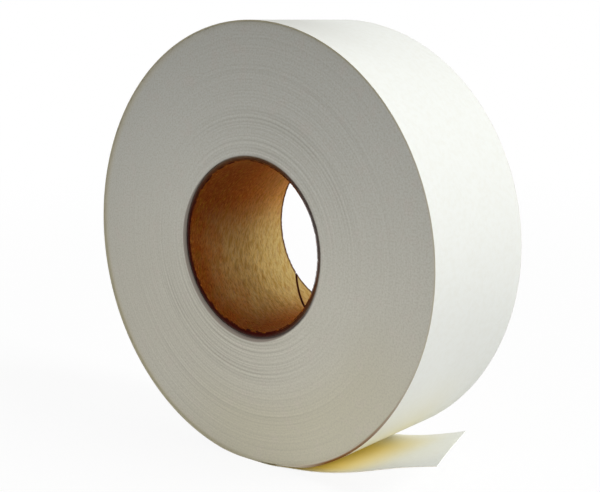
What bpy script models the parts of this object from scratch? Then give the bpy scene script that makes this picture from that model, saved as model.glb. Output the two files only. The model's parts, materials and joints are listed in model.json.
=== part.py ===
# Roll of paper joint tape on a spiral-wound board core, standing on its rim with its end loose.
# Metres, +Z up. The roll's axis runs along Y, and the origin is the middle of the foot it stands on.
import math

import bmesh
import bpy
from mathutils import Vector

# Tape
TAPE_WIDTH = 0.052
PAPER_THICKNESS = 0.00022
ROLL_RADIUS = 0.080
FOOT_HALF_WIDTH = 0.009  # the paper settles into a small flat where the roll stands
TURN_CLEARANCE = 0.0003  # the last turn has sprung this far off the turns inside it

# Core
CORE_BORE_RADIUS = 0.0308
CORE_WALL = 0.0018
CORE_SETBACK = 0.0003  # each end of the core lies this far inside the tape's side face
GLUE_LINE = 0.0001
SEAM_GAP = 0.0004
BOARD_STRIP_WIDTH = 0.110  # width of the board strips before they are wound
LINER_SEAM_ANGLE = math.radians(-70)  # where the liner's seam crosses the middle of the core
PLY_NAMES = ("core_liner_ply", "core_second_ply", "core_third_ply", "core_cover_ply")

# Glue patch that holds the tape's inner end on the core
START_GLUE_THICKNESS = 0.0002
START_GLUE_LENGTH = 0.025
START_GLUE_MARGIN = 0.002  # the patch stops this far short of the core's ends
START_GLUE_ANGLE = math.radians(60)

# Loose end: each length of paper, and how far it points up where it ends
TAIL_START = 0.006  # from the middle of the foot to where the paper leaves it
TAIL_LIFT_LENGTH = 0.006  # the paper bends up over this first stretch of the root
TAIL_ROOT_LENGTH = 0.018
TAIL_BEND_LENGTH = 0.0175
TAIL_RUN_LENGTH = 0.0165
TAIL_TIP_LENGTH = 0.0026  # along the tip's short edge
TAIL_CUT_SLANT = 0.0236  # the end is cut on a slant, so its long edge is this much longer
TAIL_ROOT_HEADING = math.radians(7)
TAIL_BEND_HEADING = math.radians(14.5)
TAIL_RUN_HEADING = math.radians(19.5)
TAIL_TIP_HEADING = math.radians(14)
LINK_GAP = 0.0003

# Facets
ROUND_STEPS = 96
SEAM_STEPS = 48
TAIL_STEP = 0.002

# Sizes that follow
HALF_WIDTH = TAPE_WIDTH / 2
AXIS_HEIGHT = math.sqrt(ROLL_RADIUS**2 - FOOT_HALF_WIDTH**2)
WOUND_RADIUS = AXIS_HEIGHT - PAPER_THICKNESS - TURN_CLEARANCE
CORE_RADIUS = CORE_BORE_RADIUS + CORE_WALL
CORE_HALF_LENGTH = HALF_WIDTH - CORE_SETBACK
PLY_THICKNESS = (CORE_WALL - GLUE_LINE * (len(PLY_NAMES) - 1)) / len(PLY_NAMES)
START_GLUE_RADIUS = CORE_RADIUS + GLUE_LINE
WOUND_BORE_RADIUS = START_GLUE_RADIUS + START_GLUE_THICKNESS + GLUE_LINE
SEAM_SLOPE = math.asin(BOARD_STRIP_WIDTH / (2 * math.pi * CORE_BORE_RADIUS))
SEAM_PITCH = 2 * math.pi * CORE_BORE_RADIUS * math.tan(SEAM_SLOPE)

WHITE_PAPER = (0.86, 0.86, 0.82)
PAPER_EDGE = (0.40, 0.39, 0.33)
KRAFT_BOARD = (0.30, 0.17, 0.06)
DARK_BOARD = (0.16, 0.09, 0.04)
DRIED_GLUE = (0.62, 0.55, 0.40)


def clear_scene():
    for obj in list(bpy.data.objects):
        bpy.data.objects.remove(obj, do_unlink=True)


def paint(obj, colour, roughness):
    material = bpy.data.materials.new(obj.name)
    material.use_nodes = True
    shader = material.node_tree.nodes["Principled BSDF"]
    shader.inputs["Base Color"].default_value = (*colour, 1)
    shader.inputs["Roughness"].default_value = roughness
    shader.inputs["Metallic"].default_value = 0
    obj.data.materials.append(material)


def add_object(name, shape, place, parent=None):
    mesh = bpy.data.meshes.new(name)
    bmesh.ops.recalc_face_normals(shape, faces=shape.faces)
    shape.to_mesh(mesh)
    shape.free()
    mesh.shade_smooth()
    mesh.set_sharp_from_angle(angle=math.radians(30))
    obj = bpy.data.objects.new(name, mesh)
    bpy.context.collection.objects.link(obj)
    obj.location = place
    obj.parent = parent
    return obj


def around(radius, angle, y):
    return Vector((radius * math.cos(angle), y, radius * math.sin(angle)))


def lofted(sections, closed):
    """A solid through sections with the same number of corners, joined end to end if closed."""
    shape = bmesh.new()
    rings = [[shape.verts.new(corner) for corner in section] for section in sections]
    corners = len(rings[0])
    pairs = list(zip(rings, rings[1:]))
    if closed:
        pairs.append((rings[-1], rings[0]))
    else:
        shape.faces.new(rings[0])
        shape.faces.new(rings[-1])
    for first, second in pairs:
        for k in range(corners):
            following = (k + 1) % corners
            shape.faces.new((first[k], first[following], second[following], second[k]))
    return shape


def ring_section(inner, outer, half_length, angle):
    return (
        around(inner, angle, -half_length),
        around(outer, angle, -half_length),
        around(outer, angle, half_length),
        around(inner, angle, half_length),
    )


def tube(inner, outer, half_length):
    turns = [2 * math.pi * step / ROUND_STEPS for step in range(ROUND_STEPS)]
    return lofted([ring_section(inner, outer, half_length, angle) for angle in turns], closed=True)


def seam_cutter(name, inner, outer, middle_angle, place, parent):
    """A helical blade, wide enough to leave the seam's gap between the edges of one ply."""
    reach = CORE_HALF_LENGTH + CORE_SETBACK
    margin = PLY_THICKNESS / 2
    half_angle = SEAM_GAP / (2 * CORE_BORE_RADIUS * math.sin(SEAM_SLOPE))
    sections = []
    for step in range(SEAM_STEPS + 1):
        y = reach * (2 * step / SEAM_STEPS - 1)
        angle = middle_angle - 2 * math.pi * y / SEAM_PITCH
        sections.append(
            (
                around(inner - margin, angle - half_angle, y),
                around(outer + margin, angle - half_angle, y),
                around(outer + margin, angle + half_angle, y),
                around(inner - margin, angle + half_angle, y),
            )
        )
    cutter = add_object(name, lofted(sections, closed=False), place, parent)
    cutter.hide_render = True
    cutter.display_type = "WIRE"
    return cutter


def core_plies(axis):
    for index, name in enumerate(PLY_NAMES):
        inner = CORE_BORE_RADIUS + index * (PLY_THICKNESS + GLUE_LINE)
        outer = inner + PLY_THICKNESS
        ply = add_object(name, tube(inner, outer, CORE_HALF_LENGTH), (0, 0, 0), axis)
        seam_angle = LINER_SEAM_ANGLE + 2 * math.pi * index / len(PLY_NAMES)
        cut = ply.modifiers.new("seam", "BOOLEAN")
        cut.operation = "DIFFERENCE"
        cut.object = seam_cutter(name + "_seam", inner, outer, seam_angle, (0, 0, 0), axis)
        paint(ply, KRAFT_BOARD if index == 0 else DARK_BOARD, 0.85)


def start_glue(axis):
    outer = START_GLUE_RADIUS + START_GLUE_THICKNESS
    half_length = CORE_HALF_LENGTH - START_GLUE_MARGIN
    sweep = START_GLUE_LENGTH / START_GLUE_RADIUS
    steps = max(2, math.ceil(sweep / (2 * math.pi) * ROUND_STEPS))
    angles = [START_GLUE_ANGLE + sweep * step / steps for step in range(steps + 1)]
    sections = [ring_section(START_GLUE_RADIUS, outer, half_length, angle) for angle in angles]
    glue = add_object("start_glue", lofted(sections, closed=False), (0, 0, 0), axis)
    paint(glue, DRIED_GLUE, 0.6)


def wound_turns(axis):
    turns = add_object("wound_turns", tube(WOUND_BORE_RADIUS, WOUND_RADIUS, HALF_WIDTH), (0, 0, 0), axis)
    paint(turns, PAPER_EDGE, 0.9)


def walk(start, heading, end_heading, length):
    """Points and headings along a stretch of paper that bends evenly, seen along the roll's axis."""
    steps = max(1, math.ceil(length / TAIL_STEP))
    path = [(start, heading)]
    for step in range(steps):
        middle = heading + (end_heading - heading) * (step + 0.5) / steps
        point = path[-1][0] + Vector((math.cos(middle), 0, math.sin(middle))) * (length / steps)
        path.append((point, heading + (end_heading - heading) * (step + 1) / steps))
    return path


def tail_root_path():
    lift = walk(Vector((TAIL_START, 0, 0)), 0, TAIL_ROOT_HEADING, TAIL_LIFT_LENGTH)
    rest = TAIL_ROOT_LENGTH - TAIL_LIFT_LENGTH
    return lift + walk(lift[-1][0], TAIL_ROOT_HEADING, TAIL_ROOT_HEADING, rest)[1:]


def inward(heading):
    return Vector((-math.sin(heading), 0, math.cos(heading)))


def tuck_angle():
    """Where the last turn's inner end stops, clear of the loose end that covers it."""
    for point, heading in tail_root_path():
        top = point + inward(heading) * PAPER_THICKNESS
        height = AXIS_HEIGHT - math.sqrt(AXIS_HEIGHT**2 - top.x**2)
        if height - top.z >= TURN_CLEARANCE:
            break
    return math.atan2(-math.sqrt(AXIS_HEIGHT**2 - top.x**2), top.x)


def last_turn_path():
    """The outer face of the last turn: one slow spiral, the foot's flat and the loose end's root."""
    first = tuck_angle()
    last = math.atan2(-AXIS_HEIGHT, -FOOT_HALF_WIDTH) + 2 * math.pi
    centre = Vector((0, 0, AXIS_HEIGHT))
    steps = math.ceil((last - first) / (2 * math.pi) * ROUND_STEPS)
    path = []
    for step in range(steps + 1):
        share = step / steps
        angle = first + (last - first) * share
        radius = AXIS_HEIGHT + (ROLL_RADIUS - AXIS_HEIGHT) * share
        path.append((centre + around(radius, angle, 0), angle + math.pi / 2))
    return path + tail_root_path()


def ribbon(path, origin):
    """Paper of the tape's width along a path on its outer face."""
    sections = []
    for point, heading in path:
        outer = point - origin
        inner = outer + inward(heading) * PAPER_THICKNESS
        near, far = Vector((0, -HALF_WIDTH, 0)), Vector((0, HALF_WIDTH, 0))
        sections.append((outer + near, outer + far, inner + far, inner + near))
    return lofted(sections, closed=False)


def trimmed(path, start_gap, end_gap):
    """The path less a gap at either end."""
    points = [point for point, heading in path]
    headings = [heading for point, heading in path]
    points[0] = points[0] + (points[1] - points[0]).normalized() * start_gap
    points[-1] = points[-1] + (points[-2] - points[-1]).normalized() * end_gap
    return list(zip(points, headings))


def hinge_point(path):
    point, heading = path[0]
    return point + inward(heading) * (PAPER_THICKNESS / 2)


def cut_on_slant(shape, path, origin):
    """Cuts the tip from its near corner, at the path's end, back to the far corner."""
    near = path[-1][0] - origin
    far = near - Vector((math.cos(path[-1][1]) * TAIL_CUT_SLANT, 0, 0))
    near.y = -HALF_WIDTH
    far.y = HALF_WIDTH
    normal = (far - near).cross(Vector((0, 0, 1)))
    whole = list(shape.verts) + list(shape.edges) + list(shape.faces)
    cut = bmesh.ops.bisect_plane(shape, geom=whole, plane_co=near, plane_no=normal, clear_outer=True)
    edges = [item for item in cut["geom_cut"] if isinstance(item, bmesh.types.BMEdge)]
    bmesh.ops.holes_fill(shape, edges=edges, sides=0)


def last_turn_and_tail():
    half_gap = LINK_GAP / 2
    centre = Vector((0, 0, AXIS_HEIGHT))
    path = last_turn_path()
    turn = add_object("last_turn", ribbon(trimmed(path, 0, half_gap), centre), centre)
    paint(turn, WHITE_PAPER, 0.8)
    links = (
        ("tail_bend", TAIL_BEND_LENGTH, TAIL_BEND_HEADING),
        ("tail_run", TAIL_RUN_LENGTH, TAIL_RUN_HEADING),
        ("tail_tip", TAIL_TIP_LENGTH + TAIL_CUT_SLANT, TAIL_TIP_HEADING),
    )
    parent, parent_hinge = turn, centre
    for name, length, end_heading in links:
        start, heading = path[-1]
        path = walk(start, heading, end_heading, length)
        hinge = hinge_point(path)
        free_end = name == links[-1][0]
        shape = ribbon(trimmed(path, half_gap, 0 if free_end else half_gap), hinge)
        if free_end:
            cut_on_slant(shape, path, hinge)
        link = add_object(name, shape, hinge - parent_hinge, parent)
        paint(link, WHITE_PAPER, 0.8)
        parent, parent_hinge = link, hinge


def build():
    clear_scene()
    axis = bpy.data.objects.new("roll_axis", None)
    axis.location = (0, 0, AXIS_HEIGHT)
    bpy.context.collection.objects.link(axis)
    core_plies(axis)
    start_glue(axis)
    wound_turns(axis)
    last_turn_and_tail()


build()
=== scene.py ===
# The looks of a roll of paper joint tape on a spiral board core, which stands on its rim with its end loose
import json
import math
import random

import bpy
from mathutils import Matrix, Vector

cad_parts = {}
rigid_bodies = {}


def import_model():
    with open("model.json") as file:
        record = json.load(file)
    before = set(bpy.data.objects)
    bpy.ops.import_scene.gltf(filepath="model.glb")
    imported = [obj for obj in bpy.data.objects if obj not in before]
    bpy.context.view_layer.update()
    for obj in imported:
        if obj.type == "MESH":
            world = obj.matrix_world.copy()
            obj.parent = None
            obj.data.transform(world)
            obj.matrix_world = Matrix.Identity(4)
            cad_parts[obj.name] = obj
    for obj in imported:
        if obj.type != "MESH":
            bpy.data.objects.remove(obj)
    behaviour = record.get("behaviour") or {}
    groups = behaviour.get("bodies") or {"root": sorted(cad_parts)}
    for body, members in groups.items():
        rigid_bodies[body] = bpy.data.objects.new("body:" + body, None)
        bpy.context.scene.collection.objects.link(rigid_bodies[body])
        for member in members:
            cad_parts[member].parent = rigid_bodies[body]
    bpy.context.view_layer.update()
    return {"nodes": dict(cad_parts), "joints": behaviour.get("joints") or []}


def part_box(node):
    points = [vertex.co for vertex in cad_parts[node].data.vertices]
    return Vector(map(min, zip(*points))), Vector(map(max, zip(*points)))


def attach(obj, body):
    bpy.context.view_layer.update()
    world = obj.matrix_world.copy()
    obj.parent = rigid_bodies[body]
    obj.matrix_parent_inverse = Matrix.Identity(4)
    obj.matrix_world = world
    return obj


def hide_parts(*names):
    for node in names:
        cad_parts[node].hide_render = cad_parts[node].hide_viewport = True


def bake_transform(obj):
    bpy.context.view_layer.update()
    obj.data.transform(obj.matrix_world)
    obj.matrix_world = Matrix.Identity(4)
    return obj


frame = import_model()
print("frame loaded:", len(frame["nodes"]), "nodes")

# Sizes shared by all pieces, read from the frame where it gives them
axisAt = next(Vector(joint["pos_m"]) for joint in frame["joints"] if joint["name"] == "unwind")
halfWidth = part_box("wound_turns")[1].y
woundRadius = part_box("wound_turns")[1].x
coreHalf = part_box("core_liner_ply")[1].y
paper = {"thickness": 0.00022, "rollRadius": 0.080, "footHalf": 0.009}
core = {
    "bore": 0.0308,
    "wall": 0.0018,
    "glueLine": 0.0001,
    "glueRoom": 0.0004,
    "boardStrip": 0.110,
    "seamAt": -70,
    "seamGap": 0.0004,
}
footDrop = math.sqrt(paper["rollRadius"] ** 2 - paper["footHalf"] ** 2)
boreRound = math.tau * core["bore"]
coreRadius = core["bore"] + core["wall"]
woundBore = coreRadius + core["glueRoom"]
seamAngle = math.radians(core["seamAt"])
seamSlope = math.asin(core["boardStrip"] / boreRound)
seamPitch = boreRound * math.tan(seamSlope)

# Modelling helpers, one per move made by hand
mergeWithin = {"outline": 1e-6, "turned": 1e-7}


def deselectAll():
    if bpy.context.object and bpy.context.object.mode != "OBJECT":
        bpy.ops.object.mode_set(mode="OBJECT")
    bpy.ops.object.select_all(action="DESELECT")


def startPoint(name, place):
    # a plane merged to its middle, as the first point of a line
    deselectAll()
    bpy.ops.mesh.primitive_plane_add(size=0.001)
    piece = bpy.context.object
    piece.name = name
    piece.data.name = name
    bpy.ops.object.mode_set(mode="EDIT")
    bpy.ops.mesh.select_all(action="SELECT")
    bpy.ops.mesh.merge(type="CENTER")
    bpy.ops.transform.translate(value=place)
    return piece


def drawLine(points):
    for first, second in zip(points, points[1:]):
        bpy.ops.mesh.extrude_region_move(TRANSFORM_OT_translate={"value": second - first})


def finishEdit(smoothAngle):
    bpy.ops.object.mode_set(mode="OBJECT")
    bpy.ops.object.shade_smooth_by_angle(angle=math.radians(smoothAngle))


def useModifier(piece, kind, **settings):
    modifier = piece.modifiers.new(kind.lower(), kind)
    for name, value in settings.items():
        setattr(modifier, name, value)
    deselectAll()
    bpy.context.view_layer.objects.active = piece
    piece.select_set(True)
    bpy.ops.object.modifier_apply(modifier=modifier.name)


def turnProfile(name, profile, steps, smoothAngle):
    # profile is a closed outline of (radius, y), turned once round the roll's axis
    points = [axisAt + Vector((radius, y, 0)) for radius, y in profile]
    piece = startPoint(name, points[0])
    drawLine(points + points[:1])
    bpy.ops.mesh.select_all(action="SELECT")
    bpy.ops.mesh.remove_doubles(threshold=mergeWithin["outline"])
    bpy.ops.mesh.select_all(action="SELECT")
    bpy.ops.mesh.spin(steps=steps, angle=math.tau, use_auto_merge=True, center=axisAt, axis=(0, 1, 0))
    bpy.ops.mesh.select_all(action="SELECT")
    bpy.ops.mesh.remove_doubles(threshold=mergeWithin["turned"])
    bpy.ops.mesh.normals_make_consistent(inside=False)
    finishEdit(smoothAngle)
    return piece


# Shader maths: a wire is a socket that Python operators can be used on
class Wire:
    def __init__(self, tree, socket=None):
        self.tree = tree
        self.socket = socket

    def node(self, kind, settings, inputs, output=0):
        made = self.tree.nodes.new(kind)
        for name, value in settings.items():
            setattr(made, name, value)
        for key, value in inputs.items():
            if isinstance(value, Wire):
                self.tree.links.new(value.socket, made.inputs[key])
            else:
                made.inputs[key].default_value = value
        return Wire(self.tree, made.outputs[output])

    def maths(self, operation, first, second=0.0):
        return self.node("ShaderNodeMath", {"operation": operation}, {0: first, 1: second})

    def __add__(self, other):
        return self.maths("ADD", self, other)

    def __sub__(self, other):
        return self.maths("SUBTRACT", self, other)

    def __rsub__(self, other):
        return self.maths("SUBTRACT", other, self)

    def __mul__(self, other):
        return self.maths("MULTIPLY", self, other)

    def __truediv__(self, other):
        return self.maths("DIVIDE", self, other)

    def __abs__(self):
        return self.maths("ABSOLUTE", self)

    __radd__ = __add__
    __rmul__ = __mul__

    def most(self, other):
        return self.maths("MAXIMUM", self, other)

    def atLeast(self, least):
        # a share from 0 to 1 moved up to run from least to 1
        return self * (1 - least) + least

    def rise(self, low, high):
        # 0 below low, 1 above high, smooth between
        settings = {"interpolation_type": "SMOOTHSTEP"}
        return self.node("ShaderNodeMapRange", settings, {"Value": self, "From Min": low, "From Max": high})

    def fall(self, low, high):
        return 1 - self.rise(low, high)

    def between(self, start, end):
        # rises over the first range and falls over the second
        return self.rise(*start) * self.fall(*end)

    def mix(self, first, second):
        settings = {"data_type": "RGBA"}
        return self.node("ShaderNodeMix", settings, {0: self, 6: first, 7: second}, 2)

    def place(self):
        # where a point is, in the piece's own coordinates
        return self.node("ShaderNodeTexCoord", {}, {}, "Object")

    def split(self):
        made = self.node("ShaderNodeSeparateXYZ", {}, {0: self})
        return [Wire(self.tree, made.socket.node.outputs[k]) for k in range(3)]

    def joined(self, x, y, z):
        return self.node("ShaderNodeCombineXYZ", {}, {0: x, 1: y, 2: z})

    def noise(self, scale, detail, roughness=0.5):
        inputs = {"Vector": self, "Scale": scale, "Detail": detail, "Roughness": roughness}
        return self.node("ShaderNodeTexNoise", {}, inputs)

    def ringNoise(self, detail):
        settings = {"noise_dimensions": "1D"}
        return self.node("ShaderNodeTexNoise", settings, {"W": self, "Scale": 1.0, "Detail": detail})

    def bump(self, strength, distance):
        inputs = {"Height": self, "Strength": strength, "Distance": distance}
        return self.node("ShaderNodeBump", {}, inputs)


def seen(red, green, blue):
    # a colour as it looks in sRGB, 0 to 255, given as the linear values that shaders use
    levels = [value / 255 for value in (red, green, blue)]
    return (*[v / 12.92 if v <= 0.04045 else ((v + 0.055) / 1.055) ** 2.4 for v in levels], 1.0)


def newMaterial(name):
    material = bpy.data.materials.new(name)
    material.use_nodes = True
    shader = material.node_tree.nodes["Principled BSDF"]
    return material, shader, Wire(material.node_tree)


socketNames = {
    "colour": "Base Color",
    "roughness": "Roughness",
    "normal": "Normal",
    "specular": "Specular IOR Level",
}


def feed(shader, **sockets):
    for key, value in sockets.items():
        target = shader.inputs[socketNames[key]]
        if isinstance(value, Wire):
            value.tree.links.new(value.socket, target)
        else:
            target.default_value = value


def feedFinish(shader, colour, relief, finish):
    # relief is a noise that raises the surface, and changes its gloss where the finish varies
    roughness = finish["roughness"]
    if "varies" in finish:
        roughness = roughness + relief * finish["varies"]
    normal = relief.bump(*finish["bump"])
    feed(shader, colour=colour, roughness=roughness, normal=normal, specular=finish["specular"])


def dress(piece, material):
    piece.data.materials.clear()
    piece.data.materials.append(material)


def patches(colour, noise, levels, share=1.0, stretch=(1, 1), layer=0.0):
    # patches of a colour, where a noise of (scale, detail, roughness) rises between two levels;
    # stretch and layer place the noise on board that is laid flat
    return dict(colour=colour, noise=noise, levels=levels, share=share, stretch=stretch, layer=layer)


def addPatches(colour, noise, patch, limit=1.0):
    return (noise.rise(*patch["levels"]) * patch["share"] * limit).mix(colour, patch["colour"])


def aboutAxis(at):
    # how far across and up from the roll's axis
    x, _, z = at.split()
    return x, z - axisAt.z


def facingFrom(x, up, radius):
    # how far a point lies towards a side, in degrees about the axis: 1 there and -1 opposite,
    # or with two levels of that, a share that rises between them
    def facing(side, *levels):
        angle = math.radians(side)
        toward = (x * math.cos(angle) + up * math.sin(angle)) / radius
        return toward.rise(*levels) if levels else toward

    return facing


# White paper of the last turn and the loose end, with distances along the tape and across it
whiteLook = {
    "face": seen(237, 239, 234),
    "cloud": patches(seen(233, 234, 227), (520, 4, 0.6), (0.35, 0.75), 0.8),
    "fleck": patches(seen(221, 216, 200), (2600, 2), (0.66, 0.8), 0.3),
    "farSide": (-0.002, 0.020),
    # painted shade beside the turn's start, and a greyer loose end
    "greyAndShade": {
        "colour": seen(218, 219, 213),
        "turn": (0.035, 0.125),
        "turnShare": 0.6,
        "farLess": 0.7,
        "end": (0.010, 0.050),
        "endShare": 0.15,
    },
    # painted shade along the front edge at the top
    "topShade": {
        "colour": seen(206, 206, 199),
        "start": (0.185, 0.238),
        "end": (0.250, 0.320),
        "across": (-0.022, 0.018),
        "share": 0.8,
    },
    # painted warm bounce light between the loose end and the roll
    "warmBounce": {
        "colour": seen(247, 223, 106),
        "start": (-0.012, 0.008),
        "end": (0.018, 0.056),
        "far": (0.004, 0.030),
        "farLess": 0.85,
        "nearEdge": (0.0, 0.006),
        "nearLeast": 0.65,
        "turn": (0.0, 0.080),
        "turnShare": 0.42,
    },
    "edge": {
        "colour": seen(176, 169, 145),
        "pale": seen(194, 187, 168),
        "paleTo": (0.140, 0.200),
        "loose": seen(226, 221, 206),
        "looseFrom": (-0.004, 0.012),
        "within": (0.00002, 0.00012),
    },
    # painted shadow of the gap under the last turn, along the edge
    "gapShadowLine": {
        "colour": seen(114, 71, 8),
        "start": (0.004, 0.026),
        "end": (0.030, 0.085),
        "depth": (0.0005, 0.0012),
    },
    "fibre": (1500, 4, 0.7),
    "finish": {"roughness": 0.72, "varies": 0.2, "bump": (0.12, 0.0002), "specular": 0.3},
}


def whitePaper(turnStart):
    # turnStart is where the last turn begins, on the map of distance along the tape
    material, shader, wire = newMaterial("whitePaper")
    at = wire.place()
    y = at.split()[1]
    along, depth = wire.node("ShaderNodeUVMap", {"uv_map": "alongTape"}, {}).split()[:2]
    fromStart = along - turnStart
    farSide = y.rise(*whiteLook["farSide"])
    colour = whiteLook["face"]
    for patch in (whiteLook["cloud"], whiteLook["fleck"]):
        colour = addPatches(colour, at.noise(*patch["noise"]), patch)
    # painted shade: greyer beside the turn's start, at the lower right, least towards the far edge; the loose
    # end is greyer too
    greyAndShade = whiteLook["greyAndShade"]
    shadedTurn = fromStart.fall(*greyAndShade["turn"]) * (1 - farSide * greyAndShade["farLess"])
    greyerEnd = along.rise(*greyAndShade["end"])
    colour = (shadedTurn * greyAndShade["turnShare"] + greyerEnd * greyAndShade["endShare"]).mix(colour, greyAndShade["colour"])
    # painted shade along the front edge at the top, where the light falls off towards the front
    topShade = whiteLook["topShade"]
    topShading = fromStart.between(topShade["start"], topShade["end"]) * y.fall(*topShade["across"])
    colour = (topShading * topShade["share"]).mix(colour, topShade["colour"])
    # painted warm bounce light: yellow where the loose end leaves the roll and on the turn above it, least
    # towards the far edge
    warmBounce = whiteLook["warmBounce"]
    onEnd = along.between(warmBounce["start"], warmBounce["end"]) * (1 - y.rise(*warmBounce["far"]) * warmBounce["farLess"])
    onEnd = onEnd * (y + halfWidth).rise(*warmBounce["nearEdge"]).atLeast(warmBounce["nearLeast"])
    above = fromStart.fall(*warmBounce["turn"]) * (1 - farSide * warmBounce["farLess"]) * warmBounce["turnShare"]
    colour = onEnd.most(above).mix(colour, warmBounce["colour"])
    # painted shadow of the gap under the last turn: a brown line follows the outer side of the edge, a little
    # after the turn's start
    gapShadowLine = whiteLook["gapShadowLine"]
    brown = fromStart.between(gapShadowLine["start"], gapShadowLine["end"]) * depth.fall(*gapShadowLine["depth"])
    edge = whiteLook["edge"]
    edgeColour = fromStart.rise(*edge["paleTo"]).mix(edge["pale"], edge["colour"])
    edgeColour = brown.mix(edgeColour, gapShadowLine["colour"])
    edgeColour = along.rise(*edge["looseFrom"]).mix(edgeColour, edge["loose"])
    colour = (halfWidth - abs(y)).fall(*edge["within"]).mix(colour, edgeColour)
    feedFinish(shader, colour, at.noise(*whiteLook["fibre"]), whiteLook["finish"])
    return material


# Edges of the wound turns, with each side as degrees about the axis and two levels, and each reach as radii
edgeLook = {
    "face": seen(198, 195, 182),
    "eachTurn": 0.9,
    "broad": (45, 3),
    "pale": {"colour": seen(206, 203, 191), "levels": (0.35, 0.75), "share": 1.0, "broad": (0.3, 0.7)},
    "cool": {"colour": seen(197, 198, 193), "heights": (-0.05, 0.06), "share": 0.8},
    "cream": {"colour": seen(190, 184, 156), "side": (290, 0.5, 1.0), "reach": (0.045, 0.066), "share": 0.55},
    "blush": patches(seen(204, 190, 184), (150, 3, 0.6), (0.5, 0.75), 0.25),
    "speckle": patches(seen(176, 171, 156), (1500, 2), (0.35, 0.75), 0.6),
    # painted shade of the rings where turns sit lower
    "ring": {
        "colour": seen(138, 134, 120),
        "side": 245,
        "sideLeast": 0.15,
        "fade": (0.036, 0.074),
        "fadeLeast": 0.36,
        "below": (-0.8, 0.4),
        "aboveLeast": 0.68,
    },
    "wave": {"spacing": 4.0, "detail": 2, "levels": (0.34, 0.66), "share": 0.4},
    "line": {
        "spacing": 6.0,
        "shift": 40.0,
        "detail": 1,
        "width": (0.004, 0.035),
        "broad": (0.32, 0.62),
        "share": 0.42,
    },
    # the side where the painted shade beside the core is widest
    "darkSide": (225, -0.2, 0.8),
    "unshadedSide": (20, 0.7, 1.0),
    "ragged": 0.0004,
    # painted shade on the first turns beside the core
    "coreShade": {
        "colour": seen(112, 98, 90),
        "fromCore": (0.0, 0.0006),
        "spread": 0.0016,
        "share": 0.78,
        "cleanLess": 0.45,
    },
    # painted shadow of the gap between the core and the turns
    "gap": {
        "colour": seen(44, 30, 26),
        "side": (295, 0.6, 0.95),
        "share": 0.85,
        "darkSideShare": 0.3,
        "fromCore": (0.0004, 0.0010),
    },
    "tan": {"colour": seen(184, 172, 140), "side": (180, 0.1, 0.9), "reach": (0.0762, 0.0790), "share": 0.45},
    "border": {
        "colour": seen(150, 141, 106),
        "reach": (0.0777, 0.0790),
        "share": 0.2,
        "lowerLeft": (225, 0.5, 1.0),
        "lowerLeftMore": 0.35,
        "right": (0, 0.2, 0.9),
        "rightLess": 0.2,
    },
    "finish": {"roughness": 0.86, "bump": (0.1, 0.0001), "specular": 0.25},
}


def turnEdges():
    material, shader, wire = newMaterial("turnEdges")
    at = wire.place()
    x, up = aboutAxis(at)
    radius = wire.maths("SQRT", x * x + up * up)
    turn = radius / paper["thickness"]
    facing = facingFrom(x, up, radius)

    def addSide(colour, tint):
        share = facing(*tint["side"]) * radius.rise(*tint["reach"]) * tint["share"]
        return share.mix(colour, tint["colour"])

    eachTurn = (turn * edgeLook["eachTurn"]).ringNoise(1)
    broad = at.noise(*edgeLook["broad"])
    speckle = at.noise(*edgeLook["speckle"]["noise"])
    pale, cool = edgeLook["pale"], edgeLook["cool"]
    colour = addPatches(edgeLook["face"], eachTurn, pale, broad.rise(*pale["broad"]))
    colour = (up.rise(*cool["heights"]) * cool["share"]).mix(colour, cool["colour"])
    colour = addSide(colour, edgeLook["cream"])
    colour = addPatches(colour, at.noise(*edgeLook["blush"]["noise"]), edgeLook["blush"])
    colour = addPatches(colour, speckle, edgeLook["speckle"])
    # painted shade of rings where turns sit lower than their neighbours: clearest near the core, below it and
    # above, where the light would show them
    ring, wave, line = edgeLook["ring"], edgeLook["wave"], edgeLook["line"]
    ringSide = facing(ring["side"])
    shown = (ringSide * ringSide).atLeast(ring["sideLeast"])
    shown = shown * radius.fall(*ring["fade"]).atLeast(ring["fadeLeast"])
    shown = shown * ringSide.rise(*ring["below"]).atLeast(ring["aboveLeast"])
    waves = (turn / wave["spacing"]).ringNoise(wave["detail"]).fall(*wave["levels"])
    colour = (waves * shown * wave["share"]).mix(colour, ring["colour"])
    wander = (turn / line["spacing"] + line["shift"]).ringNoise(line["detail"]) - 0.5
    lines = abs(wander).fall(*line["width"]) * broad.rise(*line["broad"])
    colour = (lines * shown * line["share"]).mix(colour, ring["colour"])
    # painted shade on the first turns beside the core, widest at the lower left, with a darker painted shadow
    # of the gap underneath
    coreShade, gap = edgeLook["coreShade"], edgeLook["gap"]
    darkened = facing(*edgeLook["darkSide"])
    unshaded = facing(*edgeLook["unshadedSide"])
    fromCore = radius - coreRadius + (speckle - 0.5) * edgeLook["ragged"]
    coreShading = (fromCore - darkened * coreShade["spread"]).fall(*coreShade["fromCore"])
    colour = (coreShading * (coreShade["share"] - unshaded * coreShade["cleanLess"])).mix(colour, coreShade["colour"])
    under = (facing(*gap["side"]) * gap["share"]).most(darkened * gap["darkSideShare"])
    colour = (fromCore.fall(*gap["fromCore"]) * under).mix(colour, gap["colour"])
    # the outermost turns are tan on the left, with a darker border, strongest at the lower left and weakest
    # on the right
    border = edgeLook["border"]
    colour = addSide(colour, edgeLook["tan"])
    bordered = facing(*border["lowerLeft"]) * border["lowerLeftMore"] + border["share"]
    bordered = bordered - facing(*border["right"]) * border["rightLess"]
    colour = (radius.rise(*border["reach"]) * bordered).mix(colour, border["colour"])
    feedFinish(shader, colour, eachTurn, edgeLook["finish"])
    return material


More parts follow.
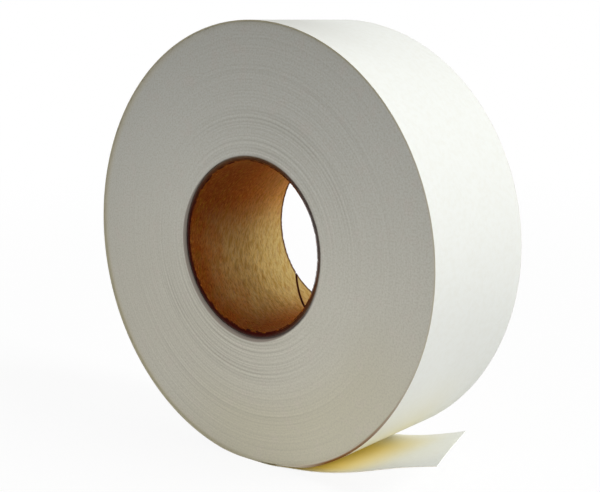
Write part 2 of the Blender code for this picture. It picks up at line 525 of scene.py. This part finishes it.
# Kraft board of the core's liner, with distances along the core from its middle
kraftLook = {
    "dark": seen(224, 190, 102),
    "mottle": patches(seen(240, 218, 144), (520, 4, 0.65), (0.28, 0.72)),
    "fibre": patches(seen(234, 219, 160), (1, 3, 0.65), (0.45, 0.7), 0.65, stretch=(300, 1700), layer=3.0),
    "rust": patches(seen(150, 64, 12), (330, 3, 0.6), (0.48, 0.7), 0.3, stretch=(1, 1.5), layer=17.0),
    "grain": patches(seen(104, 46, 12), (1, 3, 0.7), (0.44, 0.68), 0.4, stretch=(520, 2100), layer=11.0),
    "speck": patches(seen(104, 46, 12), (1500, 2), (0.66, 0.76), 0.6, layer=7.0),
    "olive": patches(seen(158, 116, 26), (330, 3, 0.6), (0.48, 0.64), 0.42, layer=31.0),
    "dot": patches(seen(66, 20, 6), (1200, 3, 0.7), (0.52, 0.7), layer=23.0),
    "dotShares": {"brownShaded": 0.65, "anywhere": 0.15},
    "glint": {"colour": seen(232, 164, 76), "levels": (0.52, 0.7), "share": 1.0},
    "glintShares": {"brownShaded": 0.5, "anywhere": 0.1},
    "farEnd": {"colour": seen(180, 161, 104), "reach": (0.004, 0.022), "share": 0.75},
    # the deeper brown of the painted shade
    "brownShade": seen(206, 108, 5),
    "nearEndShade": {"noise": (130, 3), "ragged": 0.02, "reach": (-0.027, -0.001), "share": 0.92},
    "sideShade": {"unshadedSide": (212, 0.52, 1.0), "share": 0.85, "far": (0.0, 0.022), "farLess": 0.3},
    # the darkest painted shade, above, below and at the front end
    "shade": seen(106, 33, 3),
    "shadeFront": {"reach": (-0.025, -0.010), "share": 0.35},
    "shadeSides": (
        {"side": (135, 0.35, 1.0), "reach": (-0.020, 0.024), "share": 0.68},
        {"side": (285, 0.55, 1.0), "reach": (-0.022, 0.012), "share": 0.5},
    ),
    "burnt": seen(66, 20, 10),
    "ragged": (620, 3, 0.6),
    "farBorder": {"depth": 0.0013, "ragged": 0.0006},
    "nearBorder": {"soft": 0.0005, "ragged": 0.0008},
    "seamBorder": (0.0002, 0.0008),
    "torn": {
        "noise": (230, 3, 0.7),
        "stretch": (1, 0.5),
        "layer": 41.0,
        "levels": (0.46, 0.68),
        "depth": 0.0020,
        "below": (266, 0.72, 0.95),
        "above": (128, 0.88, 0.99),
        "aboveShare": 0.6,
    },
    "greyCut": {"colour": seen(160, 153, 150), "side": (8, 0.8, 0.97), "depth": (0.00005, 0.00015)},
    "finish": {"roughness": 0.8, "varies": 0.1, "bump": (0.3, 0.0002), "specular": 0.04},
}


def kraftBoard():
    material, shader, wire = newMaterial("kraftBoard")
    at = wire.place()
    x, up = aboutAxis(at)
    y = at.split()[1]
    facing = facingFrom(x, up, core["bore"])
    # the strip laid flat: fromSeam runs round the core from the butt seam, and y runs along the seam
    angle = wire.maths("ARCTAN2", up, x) - seamAngle + y * (math.tau / seamPitch)
    fromSeam = wire.maths("FRACT", angle / math.tau) * boreRound

    def flatNoise(patch):
        # patches in different layers of the noise don't follow each other
        around, along = patch["stretch"]
        return wire.joined(fromSeam * around, y * along, patch["layer"]).noise(*patch["noise"])

    fibre = flatNoise(kraftLook["fibre"])
    farEnd = kraftLook["farEnd"]
    colour = addPatches(kraftLook["dark"], flatNoise(kraftLook["mottle"]), kraftLook["mottle"])
    colour = addPatches(colour, fibre, kraftLook["fibre"])
    colour = (y.rise(*farEnd["reach"]) * farEnd["share"]).mix(colour, farEnd["colour"])
    # painted shade: the board is painted a deeper brown at the front end and all but the lower left, and
    # darker above, below and at the front end
    nearEndShade, sideShade = kraftLook["nearEndShade"], kraftLook["sideShade"]
    uneven = (at.noise(*nearEndShade["noise"]) - 0.5) * nearEndShade["ragged"]
    sideShading = (1 - facing(*sideShade["unshadedSide"])) * (sideShade["share"] - y.rise(*sideShade["far"]) * sideShade["farLess"])
    brownShaded = sideShading.most((y + uneven).fall(*nearEndShade["reach"]) * nearEndShade["share"])
    colour = brownShaded.mix(colour, kraftLook["brownShade"])
    shaded = y.fall(*kraftLook["shadeFront"]["reach"]) * kraftLook["shadeFront"]["share"]
    for shade in kraftLook["shadeSides"]:
        shaded = shaded.most(facing(*shade["side"]) * y.fall(*shade["reach"]) * shade["share"])
    colour = shaded.mix(colour, kraftLook["shade"])
    # rusty patches, dark fibres and specks, mottled olive, and dots, most where the brown shade is painted
    for name in ("rust", "grain", "speck", "olive"):
        colour = addPatches(colour, flatNoise(kraftLook[name]), kraftLook[name])
    dots = flatNoise(kraftLook["dot"])
    for name, noise in (("dot", dots), ("glint", 1 - dots)):
        shares = kraftLook[name + "Shares"]
        colour = addPatches(colour, noise, kraftLook[name], brownShaded * shares["brownShaded"] + shares["anywhere"])
    # the far end and the seam have dark borders, and the near end is torn dark in places
    farBorder, nearBorder, torn = kraftLook["farBorder"], kraftLook["nearBorder"], kraftLook["torn"]
    ragged = at.noise(*kraftLook["ragged"])
    far = (y + ragged * farBorder["ragged"]).rise(coreHalf - farBorder["depth"], coreHalf)
    tear = facing(*torn["below"]).most(facing(*torn["above"]) * torn["aboveShare"])
    tear = flatNoise(torn).rise(*torn["levels"]) * tear * torn["depth"]
    near = (ragged * nearBorder["ragged"] + tear - y).rise(coreHalf, coreHalf + nearBorder["soft"])
    besideSeam = wire.maths("MINIMUM", fromSeam, boreRound - fromSeam) - core["seamGap"]
    seam = besideSeam.fall(*kraftLook["seamBorder"])
    colour = far.most(near).most(seam).mix(colour, kraftLook["burnt"])
    # the cut end itself is grey on the right
    greyCut = kraftLook["greyCut"]
    cutEnd = (wire.maths("SQRT", x * x + up * up) - core["bore"]).rise(*greyCut["depth"])
    colour = (cutEnd * facing(*greyCut["side"])).mix(colour, greyCut["colour"])
    feedFinish(shader, colour, fibre, kraftLook["finish"])
    return material


# Cut ends of the three plies of board under the liner, from the inside out
cutLook = {
    "fresh": (seen(98, 58, 30), seen(104, 72, 52), seen(118, 98, 78)),
    "darkened": (seen(64, 8, 4), seen(66, 25, 20), seen(80, 50, 44)),
    "darkSide": (225, -0.4, 0.6),
    "greyed": (seen(96, 88, 85), seen(102, 94, 90), seen(172, 166, 156)),
    "greySide": (20, 0.7, 1.0),
    "greyShare": (0.95, 0.9, 0.8),
    "pit": patches(seen(30, 6, 4), (1400, 4, 0.7), (0.45, 0.75), 0.5),
    "finish": {"roughness": 0.92, "bump": (0.5, 0.0002), "specular": 0.06},
}


def cutBoard(layer):
    # maroon at the lower left, greyer on the right
    material, shader, wire = newMaterial("cutBoard")
    at = wire.place()
    x, up = aboutAxis(at)
    facing = facingFrom(x, up, coreRadius)
    fuzz = at.noise(*cutLook["pit"]["noise"])
    colour = facing(*cutLook["darkSide"]).mix(cutLook["fresh"][layer], cutLook["darkened"][layer])
    greying = facing(*cutLook["greySide"]) * cutLook["greyShare"][layer]
    colour = greying.mix(colour, cutLook["greyed"][layer])
    colour = addPatches(colour, fuzz, cutLook["pit"])
    feedFinish(shader, colour, fuzz, cutLook["finish"])
    return material


# Glue under the tape's inner end
glueLook = {
    "thin": seen(104, 66, 36),
    "pool": patches(seen(140, 98, 58), (400, 3), (0.3, 0.7)),
    "finish": {"roughness": 0.45, "varies": 0.2, "bump": (0.2, 0.0002), "specular": 0.5},
}


def dryGlue():
    material, shader, wire = newMaterial("dryGlue")
    pool = wire.place().noise(*glueLook["pool"]["noise"])
    colour = addPatches(glueLook["thin"], pool, glueLook["pool"])
    feedFinish(shader, colour, pool, glueLook["finish"])
    return material


# Wound turns: each turn's two edges stand a little in or out of the side faces
wound = {
    "turns": 208,
    "steps": 192,
    "smooth": 50,
    "spare": 0.00025,
    "lipGap": 0.00006,
    "lipDepth": 0.0012,
    "wave": (0.00008, 0.00003),
    "waveTurns": (3, 6),
    "jitter": 0.000008,
    "seed": 11,
}


def turnDepths(draw):
    # soft waves a few turns long, deepest beside the core
    depths = []
    beside, outside = wound["wave"]
    crest = draw.random()
    while len(depths) < wound["turns"]:
        following = draw.random()
        span = draw.randint(*wound["waveTurns"])
        for step in range(span):
            ease = (1 - math.cos(math.pi * step / span)) / 2
            deep = beside + (outside - beside) * len(depths) / wound["turns"]
            depths.append((crest + (following - crest) * ease) * deep + draw.random() * wound["jitter"])
        crest = following
    return depths[: wound["turns"]]


def makeWoundTurns():
    draw = random.Random(wound["seed"])
    lip = coreRadius + wound["lipGap"]
    pitch = (woundRadius + wound["spare"] - lip) / (wound["turns"] - 1)
    radii = [lip + pitch * turn for turn in range(wound["turns"])]
    front = [(r, depth - halfWidth) for r, depth in zip(radii, turnDepths(draw))]
    back = [(r, halfWidth - depth) for r, depth in zip(radii, turnDepths(draw))]
    # the first turn meets the core at both sides, and stands off it between them, where the glue is
    wall = [(woundBore, halfWidth - wound["lipDepth"]), (woundBore, wound["lipDepth"] - halfWidth)]
    piece = turnProfile("woundTurns", front + back[::-1] + wall, wound["steps"], wound["smooth"])
    dress(piece, turnEdges())
    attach(piece, "roll")
    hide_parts("wound_turns")
    print("wound turns:", len(piece.data.polygons), "faces")


# Core: four plies of board, each with a helical butt seam and roughly cut ends
plies = {
    "nodes": ("core_liner_ply", "core_second_ply", "core_third_ply", "core_cover_ply"),
    "chamfer": 0.00008,
    "steps": 240,
    "smooth": 40,
    "bladeSteps": 60,
    "bladeSpare": 0.0003,
    "bladeOver": 0.001,
    "tear": 0.00016,
    "tearReach": 0.00032,
    "tearPasses": 3,
    "tearSpared": 0.7,
    "seedStep": 10,
}


def tearEnds(piece, seed):
    # push a random share of the cut ends' points into the board, a few times over
    for lift in range(plies["tearPasses"]):
        for side in (-1, 1):
            deselectAll()
            bpy.context.view_layer.objects.active = piece
            bpy.ops.object.mode_set(mode="EDIT")
            bpy.ops.mesh.select_all(action="DESELECT")
            bpy.ops.object.mode_set(mode="OBJECT")
            for vertex in piece.data.vertices:
                vertex.select = vertex.co.y * side > coreHalf - plies["tearReach"]
            bpy.ops.object.mode_set(mode="EDIT")
            bpy.ops.mesh.select_random(ratio=plies["tearSpared"], seed=seed + lift, action="DESELECT")
            bpy.ops.transform.translate(value=(0, -side * plies["tear"] / (lift + 1), 0))
            bpy.ops.object.mode_set(mode="OBJECT")


def makeSeamBlade(inner, outer, middleAngle):
    # a thin bar, swept along the seam's helix, that parts one ply
    width = core["seamGap"] / math.sin(seamSlope)
    depth = outer - inner + plies["bladeSpare"]
    reach = coreHalf + plies["bladeOver"]
    turnAll = -math.tau * 2 * reach / seamPitch
    deselectAll()
    bpy.ops.mesh.primitive_plane_add(size=1)
    blade = bpy.context.object
    bpy.ops.object.mode_set(mode="EDIT")
    bpy.ops.mesh.select_all(action="SELECT")
    bpy.ops.transform.resize(value=(depth, width, 1))
    bpy.ops.transform.rotate(value=math.radians(90), orient_axis="X", center_override=(0, 0, 0))
    bpy.ops.transform.translate(value=axisAt + Vector(((inner + outer) / 2, -reach, 0)))
    bpy.ops.transform.rotate(value=middleAngle - turnAll / 2, orient_axis="Y", center_override=axisAt)
    rise = (0, 2 * reach / plies["bladeSteps"], 0)
    turn = turnAll / plies["bladeSteps"]
    for step in range(plies["bladeSteps"]):
        bpy.ops.mesh.extrude_region_move(TRANSFORM_OT_translate={"value": rise})
        bpy.ops.transform.rotate(value=turn, orient_axis="Y", center_override=axisAt)
    bpy.ops.mesh.select_all(action="SELECT")
    bpy.ops.mesh.normals_make_consistent(inside=False)
    bpy.ops.object.mode_set(mode="OBJECT")
    return blade


def makeCore():
    count = len(plies["nodes"])
    thickness = (core["wall"] - core["glueLine"] * (count - 1)) / count
    looks = [kraftBoard()] + [cutBoard(layer) for layer in range(count - 1)]
    chamfer = plies["chamfer"]
    for index, node in enumerate(plies["nodes"]):
        inner = core["bore"] + index * (thickness + core["glueLine"])
        outer = inner + thickness
        profile = [(inner, chamfer - coreHalf), (inner + chamfer, -coreHalf)]
        profile += [(outer - chamfer, -coreHalf), (outer, chamfer - coreHalf)]
        profile += [(r, -y) for r, y in profile[::-1]]
        piece = turnProfile("board_" + node, profile, plies["steps"], plies["smooth"])
        tearEnds(piece, plies["seedStep"] * index)
        blade = makeSeamBlade(inner, outer, seamAngle + math.tau * index / count)
        useModifier(piece, "BOOLEAN", operation="DIFFERENCE", object=blade)
        bpy.data.objects.remove(blade)
        dress(piece, looks[index])
        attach(piece, "roll")
        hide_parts(node)
    dress(frame["nodes"]["start_glue"], dryGlue())
    print("core plies:", count)


# The strip: its last turn, the foot it stands on, and the loose end
tail = {
    "start": 0.006,
    "lift": 0.006,
    "lengths": {"root": 0.018, "bend": 0.0175, "run": 0.0165, "tip": 0.0262},
    "headings": {"root": 7.0, "bend": 14.5, "run": 19.5, "tip": 14.0},
    "slant": 0.0236,
    "step": 0.0006,
    "pieces": ("tailRoot", "tailMiddle", "tailEnd"),
}
strip = {
    "aroundSteps": 240,
    "acrossSteps": 10,
    "smooth": 30,
    "footRound": 0.005,
    "footSteps": 6,
    "tuckAngle": math.radians(-81.35),
    "opening": 0.4,
    "slack": 0.00005,
    "bulge": 0.0010,
    "bulgeFrom": (-81, -68),
    "bulgeTo": (-62, -26),
}


def walkPaper(start, heading, endHeading, length):
    steps = max(1, math.ceil(length / tail["step"]))
    path = [start]
    for step in range(steps):
        middle = heading + (endHeading - heading) * (step + 0.5) / steps
        path.append(path[-1] + Vector((math.cos(middle), 0, math.sin(middle))) * (length / steps))
    return path


def tailPath():
    heading = math.radians(tail["headings"]["root"])
    points = walkPaper(Vector((tail["start"], 0, 0)), 0, heading, tail["lift"])
    for name, length in tail["lengths"].items():
        endHeading = math.radians(tail["headings"][name])
        length = length - tail["lift"] if name == "root" else length
        points += walkPaper(points[-1], heading, endHeading, length)[1:]
        heading = endHeading
    return points


def turnPath():
    last = math.atan2(-footDrop, -paper["footHalf"]) + math.tau
    points = []
    for step in range(strip["aroundSteps"] + 1):
        share = step / strip["aroundSteps"]
        angle = strip["tuckAngle"] + (last - strip["tuckAngle"]) * share
        radius = footDrop + (paper["rollRadius"] - footDrop) * share ** strip["opening"]
        points.append(axisAt + radius * Vector((math.cos(angle), 0, math.sin(angle))))
    # the paper goes round the foot's corner in a curve, and on to the point under the axis
    corner = points[-1]
    while (points[-1] - corner).length < strip["footRound"]:
        points.pop()
    before = points[-1]
    after = corner + Vector((strip["footRound"], 0, 0))
    for step in range(1, strip["footSteps"] + 1):
        share = step / strip["footSteps"]
        points.append(before.lerp(corner, share).lerp(corner.lerp(after, share), share))
    points.append(Vector((0, 0, 0)))
    return points


def pathLengths(points):
    lengths = [0.0]
    for first, second in zip(points, points[1:]):
        lengths.append(lengths[-1] + (second - first).length)
    return lengths


def nearestLength(lengths, wanted):
    return min(range(len(lengths)), key=lambda k: abs(lengths[k] - wanted))


def nearestPoint(points, place):
    flat = Vector((place.x, 0, place.z))
    return min(range(len(points)), key=lambda k: (points[k] - flat).length_squared)


def easeBetween(value, low, high):
    share = min(1.0, max(0.0, (value - low) / (high - low)))
    return share * share * (3 - 2 * share)


def onTurn(length):
    # as far as the point under the axis
    return length < -tail["start"]


def sprungShare(place, length):
    # the turn's start has sprung out beside the loose end, most at the front edge
    if not onTurn(length):
        return 0.0
    angle = math.degrees(math.atan2(place.z - axisAt.z, place.x))
    share = easeBetween(angle, *strip["bulgeFrom"]) * (1 - easeBetween(angle, *strip["bulgeTo"]))
    return share * (halfWidth - place.y) / (2 * halfWidth)


def layerDepth(place, length):
    # loose layers fill the space between the wound turns and the last turn
    if not onTurn(length):
        return paper["thickness"]
    space = (place - axisAt).length - woundRadius - wound["spare"] - strip["slack"]
    return max(paper["thickness"], space)


def layAlongTape(piece, points, lengths):
    # a UV map of each point's distance along the tape, from where it leaves the roll, and depth in it
    layer = piece.data.uv_layers.new(name="alongTape")
    laid = {}
    for vertex in piece.data.vertices:
        k = nearestPoint(points, vertex.co)
        outer = (points[k] - axisAt).length + strip["bulge"] * sprungShare(vertex.co, lengths[k])
        fromAxis = math.hypot(vertex.co.x - axisAt.x, vertex.co.z - axisAt.z)
        laid[vertex.index] = (lengths[k], outer - fromAxis)
    for loop in piece.data.loops:
        layer.data[loop.index].uv = laid[loop.vertex_index]


def weigh(piece, name, weights):
    group = piece.vertex_groups.new(name=name)
    for index, weight in enumerate(weights):
        group.add([index], weight, "REPLACE")


def drawStrip(name, points, cutAt):
    # the paper's outer side: a line along the front edge, extruded across the width
    piece = startPoint(name, points[0] - Vector((0, halfWidth, 0)))
    drawLine(points)
    bpy.ops.mesh.select_all(action="SELECT")
    across = (0, 2 * halfWidth / strip["acrossSteps"], 0)
    for step in range(strip["acrossSteps"]):
        bpy.ops.mesh.extrude_region_move(TRANSFORM_OT_translate={"value": across})
    if cutAt:
        bpy.ops.mesh.select_all(action="SELECT")
        bpy.ops.mesh.bisect(plane_co=cutAt[0], plane_no=cutAt[1], clear_outer=True)
    finishEdit(strip["smooth"])
    return piece


def inwardSide(piece, points):
    # 1 where the faces point to the inside of the roll, -1 where they point away
    start = (points[0] + points[1]) / 2
    direction = (points[1] - points[0]).normalized()
    inward = Vector((-direction.z, 0, direction.x))
    first = min(piece.data.polygons, key=lambda face: (face.center - start).length_squared)
    return 1 if first.normal.dot(inward) > 0 else -1


def makeStrip(name, points, lengths, material, cutAt=None):
    piece = drawStrip(name, points, cutAt)
    side = inwardSide(piece, points)
    sprung = []
    depths = []
    for vertex in piece.data.vertices:
        k = nearestPoint(points, vertex.co)
        sprung.append(sprungShare(vertex.co, lengths[k]))
        depths.append(layerDepth(points[k], lengths[k]) + strip["bulge"] * sprung[-1])
    deepest = max(depths)
    weigh(piece, "sprung", sprung)
    useModifier(piece, "DISPLACE", strength=-side * strip["bulge"], mid_level=0, vertex_group="sprung")
    weigh(piece, "layers", [depth / deepest for depth in depths])
    useModifier(piece, "SOLIDIFY", thickness=deepest, offset=side, vertex_group="layers")
    bpy.ops.object.shade_smooth_by_angle(angle=math.radians(strip["smooth"]))
    layAlongTape(piece, points, lengths)
    dress(piece, material)
    return piece


def makeTape():
    loose = tailPath()
    looseLengths = pathLengths(loose)
    # the loose end is parted halfway along its lengths, so that each piece spans one joint
    spans = tail["lengths"]
    cuts = [spans["root"] / 2, spans["root"] + spans["bend"] / 2]
    cuts.append(spans["root"] + spans["bend"] + spans["run"] / 2)
    marks = [nearestLength(looseLengths, cut) for cut in cuts]
    turn = turnPath()
    wrapped = turn + loose[: marks[0] + 1]
    lengths = pathLengths(wrapped)
    lengths = [length - lengths[len(turn)] for length in lengths]
    material = whitePaper(lengths[0])
    piece = makeStrip("lastTurn", wrapped, lengths, material)
    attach(piece, "loose_turn")
    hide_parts("last_turn")
    # its end is cut on a slant
    near = loose[-1] - Vector((0, halfWidth, 0))
    slant = tail["slant"] * math.cos(math.radians(tail["headings"]["tip"]))
    cutLine = Vector((-slant, 2 * halfWidth, 0))
    cutAt = (near, cutLine.cross(Vector((0, 0, 1))).normalized())
    bodies = ("loose_turn", "tail_bend", "tail_run", "tail_tip")
    ends = marks[1:] + [len(loose) - 1]
    tipMiddle = nearestLength(looseLengths, cuts[-1] + spans["run"])
    for index, (start, end) in enumerate(zip(marks, ends)):
        lastPiece = end == len(loose) - 1
        points = loose[start : end + 1]
        lengths = looseLengths[start : end + 1]
        piece = makeStrip(tail["pieces"][index], points, lengths, material, cutAt if lastPiece else None)
        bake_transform(piece)
        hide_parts(bodies[index + 1])
    print("tape: last turn and loose end,", round(looseLengths[-1] * 1000), "mm long")


# Camera, which looks a little past the middle of the roll
view = {
    "azimuth": 40.95,
    "elevation": 10.05,
    "distance": 0.45856,
    "yaw": 0.09,
    "pitch": -0.38,
    "lens": 73.92,
    "sensor": 36,
    "clipStart": 0.01,
}


def makeCamera():
    azimuth, elevation = math.radians(view["azimuth"]), math.radians(view["elevation"])
    back = Vector((
        math.sin(azimuth) * math.cos(elevation),
        -math.cos(azimuth) * math.cos(elevation),
        math.sin(elevation),
    ))
    ahead = -back
    right = ahead.cross(Vector((0, 0, 1))).normalized()
    up = right.cross(ahead)
    yaw, pitch = math.radians(view["yaw"]), math.radians(view["pitch"])
    ahead = ahead * math.cos(yaw) + right * math.sin(yaw)
    right = ahead.cross(up).normalized()
    ahead = ahead * math.cos(pitch) + up * math.sin(pitch)
    up = right.cross(ahead)
    deselectAll()
    bpy.ops.object.camera_add()
    camera = bpy.context.object
    camera.data.lens = view["lens"]
    camera.data.sensor_width = view["sensor"]
    turn = Matrix((right, up, -ahead)).transposed()
    camera.matrix_world = Matrix.Translation(axisAt + back * view["distance"]) @ turn.to_4x4()
    camera.data.clip_start = view["clipStart"]
    bpy.context.scene.camera = camera


def eyeRays(wire):
    # rays that show a surface to the eye: straight on, in gloss or through glass
    paths = wire.node("ShaderNodeLightPath", {}, {}).socket.node.outputs
    kinds = ("Is Camera Ray", "Is Glossy Ray", "Is Transmission Ray")
    straight, gloss, through = [Wire(wire.tree, paths[kind]) for kind in kinds]
    return straight.most(gloss).most(through)


# Floor: pale and even to the eye, but dimmer on the right and far in front for the light it throws back
floorLook = {
    "size": 40,
    "tone": seen(218, 218, 216),
    "dim": seen(164, 164, 164),
    "dimRight": (0.04, 0.2),
    "front": seen(100, 100, 100),
    "frontTo": (-0.5, -0.25),
    "shown": 0.95,
    "glow": 0.92,
    "glowReach": (0.25, 0.9),
    "roughness": 0.9,
    "specular": 0.1,
}


def makeFloor():
    deselectAll()
    bpy.ops.mesh.primitive_plane_add(size=floorLook["size"])
    floor = bpy.context.object
    floor.name = "floor"
    material, shader, wire = newMaterial("paleFloor")
    eye = eyeRays(wire)
    at = wire.place()
    x, y = at.split()[:2]
    bounce = x.rise(*floorLook["dimRight"]).mix(floorLook["tone"], floorLook["dim"])
    bounce = y.rise(*floorLook["frontTo"]).mix(floorLook["front"], bounce)
    white = [floorLook["shown"]] * 3 + [1.0]
    roughness, specular = floorLook["roughness"], floorLook["specular"]
    feed(shader, colour=eye.mix(bounce, white), roughness=roughness, specular=specular)
    # what the camera sees fades to plain white away from the roll, and keeps the roll's shadow near it
    away = wire.node("ShaderNodeVectorMath", {"operation": "LENGTH"}, {0: at}, "Value")
    share = eye * away.rise(*floorLook["glowReach"]).atLeast(floorLook["glow"])
    glow = wire.node("ShaderNodeEmission", {}, {"Color": (1, 1, 1, 1), "Strength": 1.0})
    body = Wire(material.node_tree, shader.outputs[0])
    mixed = wire.node("ShaderNodeMixShader", {}, {0: share, 1: body, 2: glow})
    out = material.node_tree.nodes["Material Output"]
    material.node_tree.links.new(mixed.socket, out.inputs["Surface"])
    dress(floor, material)


# Light: a pale sweep behind the roll, dim in front and overhead, and a soft sun from the right.
# Of the spots, fill lights the side face, and low and wedge light the gap above the loose end.
sky = {
    "from": Vector((0.05, 1.0, 0.0)),
    "spread": (-0.6, 0.6),
    "front": 0.12,
    "back": 1.28,
    "overhead": (0.05, 0.9),
    "top": 0.54,
}
sun = {"power": 2.05, "from": Vector((0.85, 0.2, 0.62)), "spread": 25}
spots = {
    "fill": {"power": 38, "at": (-0.15, -1, 0.03), "aim": (0.02, -0.026, -0.01), "cone": 24, "soft": 0.15},
    "low": {"power": 8, "at": (0.95, -0.15, 0.05), "aim": (0.04, 0, 0.002), "cone": 5, "soft": 0.03},
    "wedge": {"power": 12.5, "at": (0.9, -0.2, 0.3), "aim": (0.035, -0.01, 0.004), "cone": 3.2, "soft": 0.03},
}


def makeSky():
    world = bpy.data.worlds.new("studio")
    world.use_nodes = True
    bpy.context.scene.world = world
    wire = Wire(world.node_tree)
    eye = eyeRays(wire)
    toward = wire.node("ShaderNodeTexCoord", {}, {}, "Generated")
    settings = {"operation": "DOT_PRODUCT"}
    facing = wire.node("ShaderNodeVectorMath", settings, {0: toward, 1: sky["from"]}, "Value")
    level = facing.rise(*sky["spread"]) * (sky["back"] - sky["front"]) + sky["front"]
    level = level * toward.split()[2].fall(*sky["overhead"]).atLeast(sky["top"])
    # plain white to the eye
    level = level * (1 - eye) + eye
    background = world.node_tree.nodes["Background"]
    world.node_tree.links.new(level.socket, background.inputs["Strength"])
    background.inputs["Color"].default_value = (1, 1, 1, 1)


def makeLamps():
    deselectAll()
    bpy.ops.object.light_add(type="SUN", location=sun["from"])
    key = bpy.context.object
    key.data.energy = sun["power"]
    key.data.angle = math.radians(sun["spread"])
    key.rotation_euler = sun["from"].to_track_quat("Z", "Y").to_euler()
    for spot in spots.values():
        bpy.ops.object.light_add(type="SPOT", location=spot["at"])
        lamp = bpy.context.object
        lamp.data.energy = spot["power"]
        lamp.data.spot_size = math.radians(spot["cone"])
        lamp.data.spot_blend = 1.0
        lamp.data.shadow_soft_size = spot["soft"]
        lamp.rotation_euler = (Vector(spot["at"]) - Vector(spot["aim"])).to_track_quat("Z", "Y").to_euler()
    bpy.context.scene.view_settings.view_transform = "Standard"


makeCamera()
makeFloor()
makeSky()
makeLamps()
print("camera, floor and light set")
makeWoundTurns()
makeCore()
makeTape()
